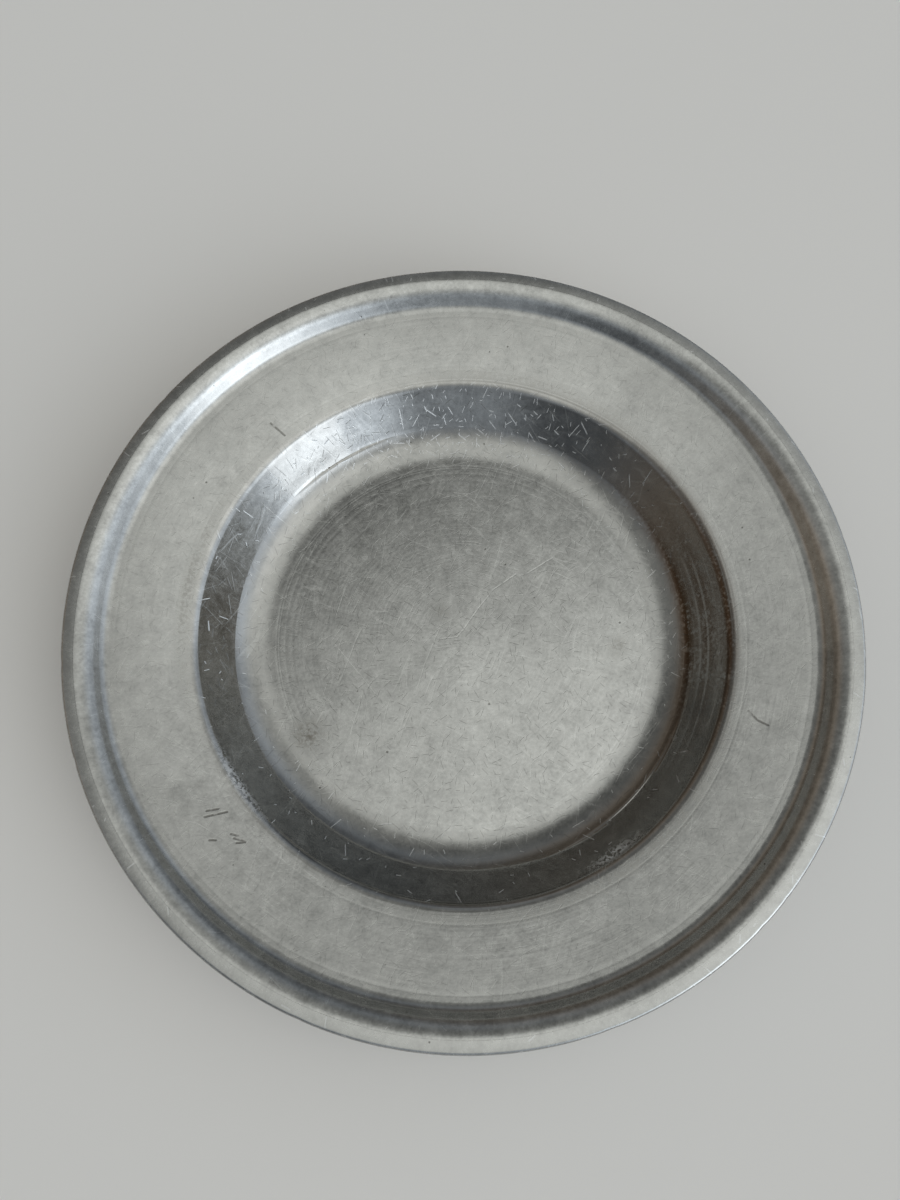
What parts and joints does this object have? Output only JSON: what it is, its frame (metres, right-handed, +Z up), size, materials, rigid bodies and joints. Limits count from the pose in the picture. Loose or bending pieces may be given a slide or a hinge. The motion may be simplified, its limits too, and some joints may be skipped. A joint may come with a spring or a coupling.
{
  "type": "pewter plate",
  "caption": "Round wide-bordered pewter plate: a flat-floored well, a broad border, a hollow that climbs to the crest and a soldered edging band; holds food or stands on show.",
  "frame": {"origin": "centre of the standing face, on the plate's axis, in the plane that the plate stands on", "axes": "+Z up along the plate's axis; the plate is turned, so +X and +Y may point anywhere round it"},
  "size_m": [0.18, 0.18, 0.0229],
  "materials": {
    "sheet_pewter": "worn satin pewter with fine scratches and faint lathe rings, polished on the wall of the well",
    "edge_pewter": "worn satin pewter, rubbed bright along the crest",
    "solder": "dull grey solder"
  },
  "bodies": {
    "root": {"plate_body": "sheet_pewter", "rim_band": "edge_pewter", "solder_fillet": "solder"}
  },
  "joints": []
}
